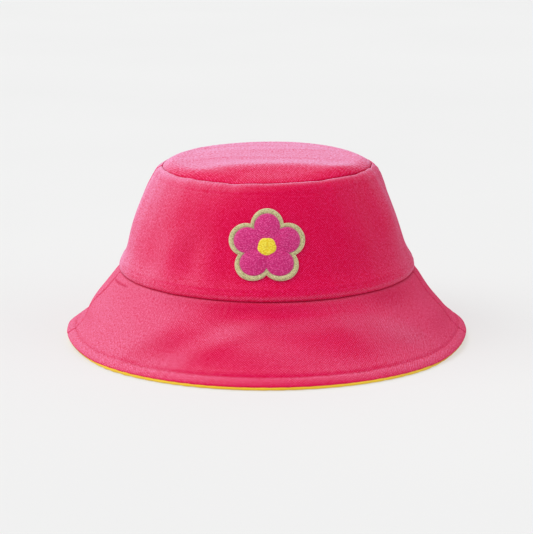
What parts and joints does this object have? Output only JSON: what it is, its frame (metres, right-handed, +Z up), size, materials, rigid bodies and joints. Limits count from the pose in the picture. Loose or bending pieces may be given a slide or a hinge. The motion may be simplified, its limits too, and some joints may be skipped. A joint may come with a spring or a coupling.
{
  "type": "bucket hat",
  "caption": "Lined bucket hat with a tapered crown, a flared brim that turns up, a contrast edge and an embroidered flower patch on the front.",
  "frame": {"origin": "centre of the circle that the brim edge rests on, in the plane of the table", "axes": "+Z up through the crown, -Y towards the front of the hat where the flower patch is, +X to the right as seen from the front"},
  "size_m": [0.236, 0.236, 0.1073],
  "materials": {
    "pink_fabric": "soft brushed twill with a velvety sheen",
    "yellow_fabric": "plain woven cotton, matte",
    "interlining": "non-woven, matte",
    "sweatband_tape": "ribbed tape, matte",
    "pink_thread": "spun polyester thread, satin",
    "yellow_thread": "spun polyester thread, satin",
    "adhesive": "thin heat-seal film, translucent matte",
    "patch_twill": "twill backing, matte",
    "border_thread": "overlocked rayon thread, satin",
    "petal_thread": "embroidered rayon thread, satin",
    "centre_thread": "embroidered rayon thread, satin",
    "label_tape": "woven satin tape, plain"
  },
  "bodies": {
    "crown": {"outer_tip": "pink_fabric", "outer_band_front": "pink_fabric", "outer_band_back": "pink_fabric", "outer_brim_front": "pink_fabric", "outer_brim_back": "pink_fabric", "brim_interlining_front": "interlining", "brim_interlining_back": "interlining", "underbrim_front": "yellow_fabric", "underbrim_back": "yellow_fabric", "lining_band_front": "yellow_fabric", "lining_band_back": "yellow_fabric", "lining_tip": "yellow_fabric", "sweatband": "sweatband_tape", "brim_edge_topstitch": "pink_thread", "underbrim_topstitch": "yellow_thread", "band_lower_topstitch": "pink_thread", "head_seam_stitches": "pink_thread", "tip_seam_stitches": "pink_thread", "sweatband_topstitch": "yellow_thread", "brim_side_seam_stitches": "pink_thread", "band_side_seam_stitches": "pink_thread", "patch_adhesive": "adhesive", "patch_base": "patch_twill", "patch_border": "border_thread", "patch_petals": "petal_thread", "patch_centre": "centre_thread", "label_stitches": "yellow_thread"},
    "brim_edge": {"brim_edge_binding": "yellow_fabric"},
    "label_flap": {"care_label": "label_tape"}
  },
  "joints": [
    {"name": "brim_flip", "type": "slide", "parent": "crown", "child": "brim_edge", "axis": [0, 0, 1], "range_m": [0, 0.0816], "deforming": ["outer_brim_front", "outer_brim_back", "brim_interlining_front", "brim_interlining_back", "underbrim_front", "underbrim_back", "brim_edge_topstitch", "underbrim_topstitch", "brim_side_seam_stitches"]},
    {"name": "label_lift", "type": "hinge", "parent": "crown", "child": "label_flap", "pos_m": [0, 0.07221, 0.0655], "axis": [-1, 0, 0], "range_deg": [0, 110]}
  ]
}
